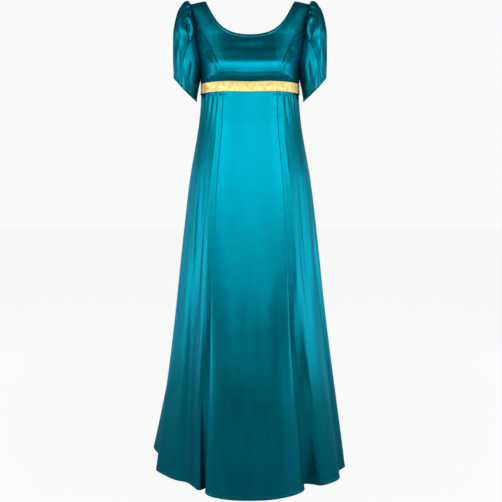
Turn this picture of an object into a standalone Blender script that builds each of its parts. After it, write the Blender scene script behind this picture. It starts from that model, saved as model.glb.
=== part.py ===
"""A regency gown of satin, hollow and shaped as when it is worn.

Its bodice has princess seams from the armholes, its short sleeves are each made of two petals, a ribbon
goes round the high waist, and five gores make the long skirt. X runs to the wearer's left, Y to the back
and Z up. The origin lies on the shoulder line, midway between the shoulders, where the wearer carries the
gown. All sizes are in metres, all angles in degrees.
"""

from collections import namedtuple
from math import asin, copysign, cos, degrees, exp, pi, radians, sin, sqrt

import bmesh
import bpy
from mathutils import Vector

GOWN_LENGTH = 1.444
WAIST_DROP = 0.2675
UNDERARM_DROP = 0.205
NECK_HALF_WIDTH = 0.136
SHOULDER_HALF_WIDTH = 0.182
SHOULDER_SLOPE = 0.007
SLOPE_FADES = 0.10
CLOTH = 0.0016
SEAM_GAP = 0.0003

RIBBON_WIDTH = 0.0285
RIBBON_THICKNESS = 0.0012
RIBBON_STANDOFF = 0.0022
RIBBON_ROWS = (0.5, 0.17, -0.17, -0.5)
RIBBON_COLUMNS = 80

# A level section of the body of the gown: how far it lies below the shoulder line, its half width, how far
# it reaches ahead and behind, and how square it is, where 2 is an ellipse.
Section = namedtuple("Section", "drop half_width front back squareness")

WAIST_SECTION = Section(WAIST_DROP, 0.1475, 0.121, 0.097, 2.30)
BODICE_SECTIONS = (
    WAIST_SECTION,
    Section(0.235, 0.1485, 0.130, 0.101, 2.35),
    Section(0.195, 0.1525, 0.130, 0.108, 2.40),
    Section(0.135, 0.1650, 0.120, 0.112, 2.35),
    Section(0.085, 0.1760, 0.104, 0.108, 2.30),
    Section(0.028, 0.1860, 0.062, 0.070, 2.30),
    Section(0.000, 0.1900, 0.000, 0.000, 2.30),
)
SKIRT_SECTIONS = (
    WAIST_SECTION,
    Section(0.330, 0.1512, 0.125, 0.104, 2.30),
    Section(0.395, 0.1590, 0.131, 0.120, 2.25),
    Section(0.543, 0.1850, 0.153, 0.165, 2.20),
    Section(0.766, 0.2120, 0.190, 0.225, 2.10),
    Section(0.989, 0.2380, 0.232, 0.290, 2.00),
    Section(1.212, 0.2650, 0.272, 0.350, 2.00),
    Section(GOWN_LENGTH, 0.2900, 0.295, 0.410, 2.00),
)

# How far the bust fills out the front, between which depths and out to which widths. The cloth hangs
# straight from where the bust is fullest, and turns in again just above the ribbon. The bust is a little
# less full in the middle.
BUST_DEPTH = 0.020
BUST_TOP = 0.112
BUST_FULLEST = 0.203
BUST_STRAIGHT_TO = 0.224
BUST_BOTTOM = 0.249
BUST_INNER = 0.095
BUST_OUTER = 0.148
BUST_MIDDLE_LESS = 0.15
BUST_MIDDLE_HALF_WIDTH = 0.035

# The ribbon and the waist seam dip a little at the centre front.
WAIST_DIP = 0.003
DIP_HALF_WIDTH = 0.050
DIP_REACH = 0.060

# Where the front and back neck edges are steered on their way from the shoulder to the centre: how far
# out, and how far below the shoulder line.
NeckPoint = namedtuple("NeckPoint", "out drop")
FRONT_NECK = (
    NeckPoint(NECK_HALF_WIDTH, 0),
    NeckPoint(0.105, 0.060),
    NeckPoint(0.092, 0.1175),
    NeckPoint(0, 0.1175),
)
BACK_NECK = (
    NeckPoint(NECK_HALF_WIDTH, 0),
    NeckPoint(0.118, 0.048),
    NeckPoint(0.098, 0.088),
    NeckPoint(0, 0.088),
)
# The shares of the front neck edge that lie across from the top and the foot of the princess seam, and the
# turns of the armhole that lie across from the top and the foot of the centre back seam.
FRONT_NECK_AT_PRINCESS = 0.34
FRONT_NECK_AT_WAIST = 0.68
ARMHOLE_AT_BACK_NECK = 80
ARMHOLE_AT_BACK_WAIST = 140

# The armhole is a ring round the side of the body, up to this many degrees to either side of it.
ARMHOLE_HALF_ANGLE = 19
# The princess seam leaves the armhole at this turn, counted from the shoulder, and runs to the waist.
PRINCESS_TURN = 82.4
SeamPoint = namedtuple("SeamPoint", "drop out")
PRINCESS_SEAM = (
    SeamPoint(WAIST_DROP, 0.0825),
    SeamPoint(0.2465, 0.0867),
    SeamPoint(0.1960, 0.0962),
    SeamPoint(0.1446, 0.1205),
    SeamPoint(0.1155, 0.1387),
)
# The shares of the way in from the waist, and of the princess seam's height, at which rows of the bodice
# lie. One row is at the ribbon's edge.
BODICE_ROWS = (0, 0.075, 0.17, 0.28, 0.40, 0.53, 0.67, 0.83, 1)
PRINCESS_ROWS = (0, 0.066, 0.16, 0.29, 0.42, 0.56, 0.70, 0.85, 1)

# The hem, fold by fold: the seat on the waist that a fold hangs from, how far to the left and ahead its
# crest or valley lies, and the share of the skirt's fall over which the fold has not begun.
Fold = namedtuple("Fold", "seat left ahead begins")
HEM_FOLDS = (
    Fold(-180, 0.000, -0.450, 0.30),
    Fold(-168, -0.075, -0.460, 0.34),
    Fold(-156, -0.140, -0.400, 0.22),
    Fold(-143, -0.215, -0.430, 0.36),
    Fold(-130, -0.262, -0.345, 0.25),
    Fold(-118, -0.329, -0.320, 0.40),
    Fold(-102, -0.296, -0.180, 0.30),
    Fold(-90, -0.266, -0.130, 0.26),
    Fold(-78, -0.268, -0.070, 0.22),
    Fold(-70, -0.290, -0.010, 0.24),
    Fold(-60, -0.236, 0.090, 0.20),
    Fold(-48, -0.184, 0.140, 0.14),
    Fold(-38, -0.148, 0.204, 0.26),
    Fold(-33, -0.131, 0.190, 0.30),
    Fold(-30, -0.121, 0.201, 0.30),
    Fold(-28.5, -0.129, 0.226, 0.36),
    Fold(-26.5, -0.121, 0.256, 0.36),
    Fold(-21, -0.098, 0.281, 0.36),
    Fold(-12, -0.058, 0.302, 0.30),
    Fold(0, -0.003, 0.309, 0.30),
    Fold(12, 0.062, 0.300, 0.30),
    Fold(21, 0.112, 0.270, 0.36),
    Fold(26.5, 0.146, 0.232, 0.36),
    Fold(28.5, 0.159, 0.196, 0.36),
    Fold(30, 0.154, 0.158, 0.30),
    Fold(33, 0.167, 0.143, 0.30),
    Fold(43, 0.214, 0.156, 0.24),
    Fold(53, 0.250, 0.124, 0.16),
    Fold(61, 0.277, 0.072, 0.20),
    Fold(68, 0.266, 0.015, 0.30),
    Fold(77, 0.299, -0.045, 0.44),
    Fold(84, 0.294, -0.100, 0.30),
    Fold(90, 0.278, -0.130, 0.26),
    Fold(105, 0.300, -0.235, 0.34),
    Fold(117, 0.250, -0.300, 0.22),
    Fold(130, 0.235, -0.390, 0.36),
    Fold(143, 0.170, -0.385, 0.24),
    Fold(156, 0.120, -0.455, 0.34),
    Fold(168, 0.060, -0.425, 0.26),
    Fold(180, 0.000, -0.450, 0.30),
)

# The small gathers under the ribbon: the seat of each on the waist, its depth and how far down it fades.
Gather = namedtuple("Gather", "seat depth fade")
WAIST_GATHERS = (
    Gather(-33, 0.0024, 0.07),
    Gather(-39, 0.0032, 0.10),
    Gather(-48, 0.0035, 0.12),
    Gather(-57, 0.0032, 0.09),
    Gather(-69, 0.0034, 0.11),
    Gather(-81, 0.0028, 0.08),
    Gather(33, 0.0024, 0.06),
    Gather(42, 0.0034, 0.11),
    Gather(54, 0.0032, 0.09),
    Gather(63, 0.0034, 0.12),
    Gather(75, 0.0030, 0.08),
    Gather(-102, 0.0034, 0.10),
    Gather(-114, 0.0036, 0.12),
    Gather(-126, 0.0034, 0.09),
    Gather(-138, 0.0036, 0.12),
    Gather(-150, 0.0034, 0.10),
    Gather(-162, 0.0034, 0.11),
    Gather(102, 0.0034, 0.11),
    Gather(114, 0.0036, 0.09),
    Gather(126, 0.0034, 0.12),
    Gather(138, 0.0036, 0.10),
    Gather(150, 0.0034, 0.12),
    Gather(162, 0.0034, 0.09),
)
GATHER_HALF_ANGLE = 3.6
GATHER_STARTS = WAIST_DROP + RIBBON_WIDTH / 2 + 0.0005
GATHER_FULL = 0.016

# The seats of the front gore's columns, closer together where it turns under at its seams, and the shares
# of the fall at which the skirt's rows lie, closer together where the gathers are.
FRONT_SEAM_SEAT = 30
FRONT_GORE_SEATS = (0, 6, 12, 17, 21, 24.5, 26.5, 28.5, FRONT_SEAM_SEAT)
SKIRT_ROWS = (0, 0.013, 0.028, 0.055, 0.10, 0.165, 0.25, 0.36, 0.48, 0.61, 0.74, 0.87, 1)
GORE_STEP = 3

# The sleeve's opening is a tilted ring, and each meridian of the sleeve runs to it from the armhole.
SLEEVE_HEM_OUT = 0.1965
SLEEVE_HEM_HALF_WIDTH = 0.0295
SLEEVE_HEM_HALF_DEPTH = 0.060
SLEEVE_HEM_DROP = 0.265
SLEEVE_HEM_TILT = 0.030
SLEEVE_STARTS = 0.0018

# How a meridian leaves the armhole, and how it comes in to the hem from above: a share that is the same
# all round, one that is added on top and taken off under the arm, and how far ahead on the front.
Steer = namedtuple("Steer", "out out_on_top up up_on_top ahead")
LEAVES_ARMHOLE = Steer(0.0200, 0.0180, -0.0065, 0.0235, 0.018)
COMES_TO_HEM = Steer(0.0030, 0.0040, 0.1075, 0.0775, 0.008)

# The over petal reaches from the underarm over the back and the top to its front edge, which draws back
# towards the hem: the share of the sleeve's length, and the meridian of the edge there.
PetalEdge = namedtuple("PetalEdge", "along meridian")
OVER_PETAL_EDGE = (
    PetalEdge(0.00, 95),
    PetalEdge(0.30, 90),
    PetalEdge(0.60, 82),
    PetalEdge(0.85, 72),
    PetalEdge(1.00, 56),
)
UNDER_PETAL_HIDDEN_EDGE = 34
OVERLAP_AT_ARMHOLE = 0.0021
OVERLAP = 0.0032
OVERLAP_OPENS = 0.20
OVERLAP_STARTS = 0
OVERLAP_FULL = 28
PETAL_BULGE = 0.007
BULGE_STARTS = 20
BULGE_FULL = 0.40
CAP_GATHER_DEPTH = 0.0050
CAP_GATHER_PITCH = 16
CAP_GATHER_REACH = 72
CAP_GATHER_FULL = 0.12
CAP_GATHER_FADES = 0.36
SLEEVE_ROWS = (0, 0.05, 0.12, 0.22, 0.36, 0.52, 0.70, 0.86, 1)


def smooth(rows, at):
    """A table's other columns at this value of its first one, on a smooth curve through its rows."""
    last = len(rows) - 1
    i = 0
    while i < last - 1 and at > rows[i + 1][0]:
        i += 1
    before, here, there, after = rows[max(i - 1, 0)], rows[i], rows[i + 1], rows[min(i + 2, last)]
    span = there[0] - here[0]
    t = min(max((at - here[0]) / span, 0), 1)
    found = []
    for column in range(1, len(here)):
        start, end = here[column], there[column]
        start_slope = (end - before[column]) / (there[0] - before[0]) * span
        end_slope = (after[column] - start) / (after[0] - here[0]) * span
        found.append(
            start * (1 + 2 * t) * (1 - t) ** 2
            + start_slope * t * (1 - t) ** 2
            + end * t * t * (3 - 2 * t)
            - end_slope * t * t * (1 - t)
        )
    return found


def ease(value, start, end):
    """From 0 at start to 1 at end, level at both."""
    t = min(max((value - start) / (end - start), 0), 1)
    return t * t * (3 - 2 * t)


def rise_of(drop):
    """Height on the bodice, from 0 at the waist to 1 at the shoulder, where the cloth turns over level."""
    return 1 - sqrt(drop / WAIST_DROP)


def drop_of(rise):
    return WAIST_DROP * (1 - rise) ** 2


BODICE_BY_RISE = [(rise_of(section.drop), *section[1:]) for section in BODICE_SECTIONS]


def ring_point(angle, half_width, front, back, squareness):
    """A point of a level section. The angle is 0 at the front and 90 at the wearer's left."""
    sideways, ahead = sin(radians(angle)), cos(radians(angle))
    x = half_width * copysign(abs(sideways) ** (2 / squareness), sideways)
    y = -(front if ahead > 0 else back) * copysign(abs(ahead) ** (2 / squareness), ahead)
    return x, y


def waist_dip(x, y, drop):
    if y > 0:
        return 0
    return WAIST_DIP * exp(-((x / DIP_HALF_WIDTH) ** 2) - ((drop - WAIST_DROP) / DIP_REACH) ** 2)


def bust(x, y, drop):
    """How far the bust fills out the front here."""
    if y > 0:
        return 0
    height = ease(drop, BUST_TOP, BUST_FULLEST) * (1 - ease(drop, BUST_STRAIGHT_TO, BUST_BOTTOM))
    across = 1 - ease(abs(x), BUST_INNER, BUST_OUTER)
    middle = 1 - BUST_MIDDLE_LESS * exp(-((x / BUST_MIDDLE_HALF_WIDTH) ** 2))
    return BUST_DEPTH * height * across * middle


def bodice_point(angle, rise):
    drop = drop_of(rise)
    x, y = ring_point(angle, *smooth(BODICE_BY_RISE, rise))
    slope = ease(abs(x), NECK_HALF_WIDTH, SHOULDER_HALF_WIDTH) * (1 - ease(drop, 0, SLOPE_FADES))
    z = -drop - SHOULDER_SLOPE * slope - waist_dip(x, y, drop)
    return Vector((x, y - bust(x, y, drop), z))


def skirt_point(angle, fall):
    """A point of the skirt. The fall is 0 at the waist and 1 at the hem."""
    drop = WAIST_DROP + fall * (GOWN_LENGTH - WAIST_DROP)
    angle = (angle + 180) % 360 - 180
    x, y = ring_point(angle, *smooth(SKIRT_SECTIONS, drop))
    hem_x, hem_y = ring_point(angle, *SKIRT_SECTIONS[-1][1:])
    left, ahead, begins = smooth(HEM_FOLDS, angle)
    grown = ease(fall, begins, 2 - begins) * 2
    x += (left - hem_x) * grown
    y += (-ahead - hem_y) * grown
    inward = -Vector((x, y)).normalized() * gather_depth(angle, drop)
    return Vector((x + inward.x, y + inward.y, -drop - waist_dip(x, y, drop)))


def gather_depth(angle, drop):
    depth = 0
    for gather in WAIST_GATHERS:
        near = 1 - ease(abs(angle - gather.seat), 0, GATHER_HALF_ANGLE)
        begun = ease(drop, GATHER_STARTS, GATHER_STARTS + GATHER_FULL)
        left = 1 - ease(drop, GATHER_STARTS + GATHER_FULL, GATHER_STARTS + GATHER_FULL + gather.fade)
        depth = max(depth, gather.depth * near * begun * left)
    return depth


def armhole_seat(turn, way):
    """A seat on the armhole, whose turn is 0 at the shoulder and 180 under the arm: -1 is ahead, 1 behind."""
    drop = UNDERARM_DROP * (1 - cos(radians(turn))) / 2
    half_angle = ARMHOLE_HALF_ANGLE * sqrt(max(1 - (turn / 180) ** 4, 0))
    return Vector((90 + way * half_angle, rise_of(drop)))


def bodice_seat(out, drop):
    """The seat on the front of the bodice that lies this far out and this far down."""
    half_width, _, _, squareness = smooth(BODICE_BY_RISE, rise_of(drop))
    return Vector((degrees(asin((out / half_width) ** (squareness / 2))), rise_of(drop)))


def stepped(*runs):
    """Values from the start of the first run to the end of the last: a start, an end and steps for each."""
    values = [start + (end - start) * step / steps for start, end, steps in runs for step in range(steps)]
    return values + [runs[-1][1]]


def neck_seats(steering, shares):
    """Seats at these shares of a neck edge, one smooth arc from the shoulder to the centre front."""
    seats = []
    for t in shares:
        weights = ((1 - t) ** 3, 3 * t * (1 - t) ** 2, 3 * t * t * (1 - t), t**3)
        out = sum(weight * point.out for weight, point in zip(weights, steering))
        drop = sum(weight * point.drop for weight, point in zip(weights, steering))
        seats.append(bodice_seat(out, drop))
    return seats


def princess_seats():
    """Seats along the princess seam, from the waist to the armhole."""
    end = armhole_seat(PRINCESS_TURN, -1)
    seam = [tuple(bodice_seat(point.out, point.drop))[::-1] for point in PRINCESS_SEAM]
    seam.append((end.y, end.x))
    rises = [end.y * share for share in PRINCESS_ROWS]
    return [Vector((smooth(seam, rise)[0], rise)) for rise in rises]


def spread(start, end, steps):
    return [start.lerp(end, step / steps) for step in range(steps + 1)]


def behind(seats):
    """The same seats on the back of the bodice."""
    return [Vector((180 - seat.x, seat.y)) for seat in seats]


def other_side(seats):
    return [Vector((-seat.x, seat.y)) for seat in seats]


def patch(bottom, top, first, last):
    """Rows of seats inside four edges that share their corners. A row's ends set its share of the way up."""
    grid = []
    for low, high in zip(first, last):
        low_share, high_share = low.y / first[-1].y, high.y / last[-1].y
        low_bow = low.x - first[0].lerp(first[-1], low_share).x
        high_bow = high.x - last[0].lerp(last[-1], high_share).x
        row = []
        for column, (foot, head) in enumerate(zip(bottom, top)):
            u = column / (len(bottom) - 1)
            straight = foot.lerp(head, low_share * (1 - u) + high_share * u)
            row.append(straight + Vector((low_bow * (1 - u) + high_bow * u, 0)))
        grid.append(row)
    return grid


def strip(outer, inner, shares):
    """Rows of seats from one edge across to another with as many seats, at these shares of the way."""
    return [[near.lerp(far, share) for near, far in zip(outer, inner)] for share in shares]


def surface_normal(point_at, u, v, u_step, v_step, v_least, v_most):
    """The direction out of a surface, from points a little either side of this one."""
    across = point_at(u + u_step, v) - point_at(u - u_step, v)
    along = point_at(u, min(v + v_step, v_most)) - point_at(u, max(v - v_step, v_least))
    return across.cross(along).normalized()


def bodice_cloth(seats):
    """(point, normal) at each seat of the bodice. Its rim at the waist is level."""
    grid = []
    for row in seats:
        cloth = []
        for angle, rise in row:
            normal = surface_normal(bodice_point, angle, rise, 0.2, 0.002, 0, 1)
            if rise == 0:
                normal = Vector((normal.x, normal.y, 0)).normalized()
            cloth.append((bodice_point(angle, rise), normal))
        grid.append(cloth)
    return grid


def skirt_cloth(seats):
    """(point, normal) for each row of the skirt at these seats. Its rims at waist and hem are level."""
    grid = []
    for fall in SKIRT_ROWS:
        cloth = []
        for angle in seats:
            normal = -surface_normal(skirt_point, angle, fall, 0.2, 0.002, 0, 1)
            if fall in (0, 1):
                normal = Vector((normal.x, normal.y, 0)).normalized()
            cloth.append((skirt_point(angle, fall), normal))
        grid.append(cloth)
    return grid


def drawn_in(edge, inner):
    """An edge moved half a seam gap towards the points inside it, square to the edge."""
    moved = []
    for k, (point, normal) in enumerate(edge):
        along = edge[min(k + 1, len(edge) - 1)][0] - edge[max(k - 1, 0)][0]
        inward = inner[k][0] - point
        inward -= inward.project(along)
        moved.append((point + inward.normalized() * (SEAM_GAP / 2), normal))
    return moved


def with_seam_gaps(grid):
    """The grid with all four of its edges drawn in."""
    grid = [drawn_in(grid[0], grid[1]), *grid[1:-1], drawn_in(grid[-1], grid[-2])]
    firsts = drawn_in([row[0] for row in grid], [row[1] for row in grid])
    lasts = drawn_in([row[-1] for row in grid], [row[-2] for row in grid])
    return [[first, *row[1:-1], last] for first, row, last in zip(firsts, grid, lasts)]


def wall(name, material, grid, thickness=CLOTH, closed=False):
    """One piece of cloth: a closed wall half its thickness out and in from the grid, with a rim round it."""
    mesh = bmesh.new()
    outer, inner = (
        [[mesh.verts.new(point + normal * (share * thickness)) for point, normal in row] for row in grid]
        for share in (0.5, -0.5)
    )
    rows, columns = len(grid) - 1, len(grid[0]) - 1
    if closed:
        columns += 1
        for row in (*outer, *inner):
            row.append(row[0])
    for i in range(rows):
        for j in range(columns):
            corners = ((i, j), (i, j + 1), (i + 1, j + 1), (i + 1, j))
            low_left, low_right, high_right, high_left = (outer[a][b].co for a, b in corners)
            if (low_left - high_right).length < (low_right - high_left).length:
                halves = ((0, 1, 2), (0, 2, 3))
            else:
                halves = ((0, 1, 3), (1, 2, 3))
            for half in halves:
                mesh.faces.new([outer[corners[k][0]][corners[k][1]] for k in half])
                mesh.faces.new([inner[corners[k][0]][corners[k][1]] for k in reversed(half)])
    if closed:
        rims = [[(row, j) for j in range(columns + 1)] for row in (0, rows)]
    else:
        rims = [
            [(0, j) for j in range(columns)]
            + [(i, columns) for i in range(rows)]
            + [(rows, columns - j) for j in range(columns)]
            + [(rows - i, 0) for i in range(rows + 1)]
        ]
    for rim in rims:
        for ends in zip(rim, rim[1:]):
            # The lower end comes first, so that two pieces divide the rims that face at a seam alike.
            (a, b), (c, d) = sorted(ends, key=lambda end: outer[end[0]][end[1]].co.z)
            mesh.faces.new((outer[a][b], inner[a][b], inner[c][d]))
            mesh.faces.new((outer[a][b], inner[c][d], outer[c][d]))
    bmesh.ops.recalc_face_normals(mesh, faces=mesh.faces)
    data = bpy.data.meshes.new(name)
    mesh.to_mesh(data)
    mesh.free()
    data.materials.append(material)
    data.shade_smooth()
    data.set_sharp_from_angle(angle=radians(50))
    piece = bpy.data.objects.new(name, data)
    bpy.context.collection.objects.link(piece)
    return piece


def material_of(name, colour, roughness, metallic):
    material = bpy.data.materials.new(name)
    material.use_nodes = True
    shader = material.node_tree.nodes["Principled BSDF"]
    shader.inputs["Base Color"].default_value = (*colour, 1)
    shader.inputs["Roughness"].default_value = roughness
    shader.inputs["Metallic"].default_value = metallic
    return material


def add_bodice_front(satin):
    """The centre front, with the shoulder straps in one piece with it.

    Its columns run from the armhole, the princess seam and the waist in to the neck edge."""
    armhole_columns, princess_columns, waist_columns = 5, len(PRINCESS_ROWS) - 1, 6
    turns = [PRINCESS_TURN * column / armhole_columns for column in range(armhole_columns)]
    outer = [armhole_seat(turn, -1) for turn in turns] + princess_seats()[::-1]
    outer += spread(outer[-1], Vector((0, 0)), waist_columns)[1:]
    neck_shares = stepped(
        (0, FRONT_NECK_AT_PRINCESS, armhole_columns),
        (FRONT_NECK_AT_PRINCESS, FRONT_NECK_AT_WAIST, princess_columns),
        (FRONT_NECK_AT_WAIST, 1, waist_columns),
    )
    inner = neck_seats(FRONT_NECK, neck_shares)
    outer = other_side(outer) + outer[-2::-1]
    inner = other_side(inner) + inner[-2::-1]
    seats = strip(outer, inner, BODICE_ROWS)
    wall("bodice_front", satin, with_seam_gaps(bodice_cloth(seats)))


def add_bodice_side_front(satin, name, mirrored):
    """The side front, from the princess seam to the side seam, with the armhole at its top."""
    columns = 8
    first = princess_seats()
    turns = [PRINCESS_TURN + (180 - PRINCESS_TURN) * column / columns for column in range(columns + 1)]
    top = [armhole_seat(turn, -1) for turn in turns]
    last = [Vector((90, top[-1].y * share)) for share in PRINCESS_ROWS]
    bottom = spread(first[0], last[0], columns)
    seats = patch(bottom, top, first, last)
    wall(name, satin, mirrored(with_seam_gaps(bodice_cloth(seats))))


def add_bodice_back(satin, name, mirrored):
    """Half the back, with a shoulder strap.

    Its columns run from the armhole out to the neck edge, the centre back seam and the waist."""
    neck_columns, seam_columns, waist_columns = 9, 5, 12
    turns = stepped(
        (0, ARMHOLE_AT_BACK_NECK, neck_columns),
        (ARMHOLE_AT_BACK_NECK, ARMHOLE_AT_BACK_WAIST, seam_columns),
        (ARMHOLE_AT_BACK_WAIST, 180, waist_columns),
    )
    armhole = [armhole_seat(turn, 1) for turn in turns]
    outer = behind(neck_seats(BACK_NECK, stepped((0, 1, neck_columns))))
    outer += spread(outer[-1], Vector((180, 0)), seam_columns)[1:]
    outer += spread(outer[-1], Vector((90, 0)), waist_columns)[1:]
    seats = strip(outer, armhole, BODICE_ROWS)
    wall(name, satin, mirrored(with_seam_gaps(bodice_cloth(seats))))


def add_skirt(satin):
    """Five gores: the front, two side fronts and two backs, from the waist seam to the hem."""
    front = [-seat for seat in FRONT_GORE_SEATS[:0:-1]] + list(FRONT_GORE_SEATS)
    side_front = list(range(FRONT_SEAM_SEAT, 91, GORE_STEP))
    back = list(range(90, 181, GORE_STEP))
    gores = {
        "skirt_front": front,
        "skirt_side_front_left": side_front,
        "skirt_side_front_right": [-seat for seat in reversed(side_front)],
        "skirt_back_left": back,
        "skirt_back_right": [-seat for seat in reversed(back)],
    }
    for name, seats in gores.items():
        wall(name, satin, with_seam_gaps(skirt_cloth(seats)))


def add_waist_ribbon(gold):
    """A ribbon round the high waist, over the seam, sewn on as a closed ring."""
    grid = []
    for share in RIBBON_ROWS:
        below_seam = share * RIBBON_WIDTH
        row = []
        for column in range(RIBBON_COLUMNS):
            angle = 360 * column / RIBBON_COLUMNS - 180
            if below_seam > 0:
                fall = below_seam / (GOWN_LENGTH - WAIST_DROP)
                point = skirt_point(angle, fall)
            else:
                point = bodice_point(angle, rise_of(WAIST_DROP + below_seam))
            normal = surface_normal(bodice_point, angle, 0, 0.2, 0.002, 0, 1)
            outward = Vector((normal.x, normal.y, 0)).normalized()
            row.append((point + outward * RIBBON_STANDOFF, outward))
        grid.append(row)
    wall("waist_ribbon", gold, grid, RIBBON_THICKNESS, closed=True)


def sleeve_point(meridian, along):
    """A point of the left sleeve: the meridian is 0 on top and 90 ahead, the length 0 at the armhole."""
    around = (meridian + 180) % 360 - 180
    across, ahead = cos(radians(meridian)), sin(radians(meridian))
    seat = armhole_seat(abs(around), -1 if around > 0 else 1)
    start = bodice_point(*seat) + Vector((SLEEVE_STARTS, 0, 0))
    out = SLEEVE_HEM_OUT + SLEEVE_HEM_HALF_WIDTH * across
    end = Vector((out, -SLEEVE_HEM_HALF_DEPTH * ahead, SLEEVE_HEM_TILT * across - SLEEVE_HEM_DROP))
    leaves, arrives = (
        point
        + Vector(
            (
                steer.out + steer.out_on_top * across,
                -steer.ahead * ahead,
                steer.up + steer.up_on_top * across,
            )
        )
        for point, steer in ((start, LEAVES_ARMHOLE), (end, COMES_TO_HEM))
    )
    t = along
    return start * (1 - t) ** 3 + leaves * 3 * t * (1 - t) ** 2 + arrives * 3 * t * t * (1 - t) + end * t**3


def petal_cloth(column_meridians, meridian_at, lift_at):
    """(point, normal) of a petal, lifted off the sleeve's own surface as the lift says."""
    grid = []
    for along in SLEEVE_ROWS:
        row = []
        for column in column_meridians:
            meridian = meridian_at(column, along)
            normal = surface_normal(sleeve_point, meridian, along, 1, 0.01, 0, 1)
            row.append(sleeve_point(meridian, along) + normal * lift_at(column, along))
        grid.append(row)
    cloth = []
    for i, row in enumerate(grid):
        normals = []
        for j, point in enumerate(row):
            across = row[min(j + 1, len(row) - 1)] - row[max(j - 1, 0)]
            along = grid[min(i + 1, len(grid) - 1)][j] - grid[max(i - 1, 0)][j]
            normals.append((point, across.cross(along).normalized()))
        cloth.append(normals)
    return cloth


def over_petal_meridian(column, along):
    """The over petal's columns close up towards the hem, where its front edge draws back."""
    if column <= 0:
        return column
    return column * smooth(OVER_PETAL_EDGE, along)[0] / OVER_PETAL_EDGE[0].meridian


def over_petal_lift(column, along):
    """Clear of the under petal, fuller near the front edge, and gathered over the cap."""
    overlap = OVERLAP_AT_ARMHOLE + (OVERLAP - OVERLAP_AT_ARMHOLE) * ease(along, 0, OVERLAP_OPENS)
    lift = overlap * ease(column, OVERLAP_STARTS, OVERLAP_FULL)
    if column > BULGE_STARTS:
        across = (column - BULGE_STARTS) / (OVER_PETAL_EDGE[0].meridian - BULGE_STARTS)
        lift += PETAL_BULGE * sin(pi * across) * ease(along, 0, BULGE_FULL)
    begun = ease(along, 0, CAP_GATHER_FULL)
    left = 1 - ease(along, CAP_GATHER_FULL, CAP_GATHER_FADES)
    reach = 1 - ease(abs(column), CAP_GATHER_REACH - CAP_GATHER_PITCH, CAP_GATHER_REACH)
    ridge = (1 + cos(2 * pi * column / CAP_GATHER_PITCH)) / 2
    return lift + CAP_GATHER_DEPTH * ridge * begun * left * reach


def add_sleeve(satin, side, mirrored):
    """Two petals: the over one is gathered over the shoulder, the under one hangs ahead and under the arm."""
    gathered = CAP_GATHER_REACH
    step = CAP_GATHER_PITCH // 4
    over = [-180, -168, -156, -144, -132, -120, -108, -96, -84]
    over += list(range(-gathered, gathered + 1, step))
    over += [80, 88, OVER_PETAL_EDGE[0].meridian]
    petal = petal_cloth(over, over_petal_meridian, over_petal_lift)
    wall(f"sleeve_over_petal_{side}", satin, mirrored(with_seam_gaps(petal)))
    columns = 16
    span = 180 - UNDER_PETAL_HIDDEN_EDGE
    under = [UNDER_PETAL_HIDDEN_EDGE + span * column / columns for column in range(columns + 1)]
    petal = petal_cloth(under, lambda column, along: column, lambda column, along: 0)
    wall(f"sleeve_under_petal_{side}", satin, mirrored(with_seam_gaps(petal)))


def as_it_is(grid):
    return grid


def on_the_right(grid):
    """The piece's mirror image, on the wearer's right."""
    flip = Vector((-1, 1, 1))
    return [[(point * flip, normal * flip) for point, normal in reversed(row)] for row in grid]


def add_gown():
    satin = material_of("teal_satin", (0.0, 0.22, 0.30), 0.30, 0.25)
    gold = material_of("gold_ribbon", (0.80, 0.55, 0.20), 0.38, 0.85)
    add_bodice_front(satin)
    for side, mirrored in (("left", as_it_is), ("right", on_the_right)):
        add_bodice_side_front(satin, f"bodice_side_front_{side}", mirrored)
        add_bodice_back(satin, f"bodice_back_{side}", mirrored)
        add_sleeve(satin, side, mirrored)
    add_waist_ribbon(gold)
    add_skirt(satin)


for leftover in list(bpy.data.objects):
    bpy.data.objects.remove(leftover)
add_gown()
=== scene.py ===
"""The looks of a regency gown of teal satin with a gold ribbon round its high waist.

X runs to the wearer's left, Y to the back and Z up, from the middle of the shoulder line. All sizes are in
metres and all angles in degrees. The gown's own left and right are the wearer's.
"""

from collections import namedtuple
from math import pi, radians

import bpy
import numpy as np
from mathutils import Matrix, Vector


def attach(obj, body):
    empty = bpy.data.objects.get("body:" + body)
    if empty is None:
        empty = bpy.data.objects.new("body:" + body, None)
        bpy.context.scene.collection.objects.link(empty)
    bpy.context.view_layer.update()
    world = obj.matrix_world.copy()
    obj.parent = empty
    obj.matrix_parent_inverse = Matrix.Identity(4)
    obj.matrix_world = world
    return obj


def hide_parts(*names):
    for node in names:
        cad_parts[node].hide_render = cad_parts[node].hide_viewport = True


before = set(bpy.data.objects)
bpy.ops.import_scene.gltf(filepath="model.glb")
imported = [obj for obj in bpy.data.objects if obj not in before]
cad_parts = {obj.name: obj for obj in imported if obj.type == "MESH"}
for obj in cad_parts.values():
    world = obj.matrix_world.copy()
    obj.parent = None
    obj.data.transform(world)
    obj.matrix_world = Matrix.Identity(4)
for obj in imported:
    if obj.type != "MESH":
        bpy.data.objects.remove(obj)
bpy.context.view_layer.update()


# The centre front of the bodice is one piece of satin with both shoulder straps. Princess seams join it to
# the side fronts, its neck edge is turned under and pressed, and its foot is sewn to the skirt.

GOWN_LENGTH = 1.444
WAIST_DROP = 0.2675
UNDERARM_DROP = 0.205
NECK_HALF_WIDTH = 0.136
SHOULDER_HALF_WIDTH = 0.182
SHOULDER_SLOPE = 0.007
SLOPE_FADES = 0.10
SATIN = 0.0011

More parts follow.
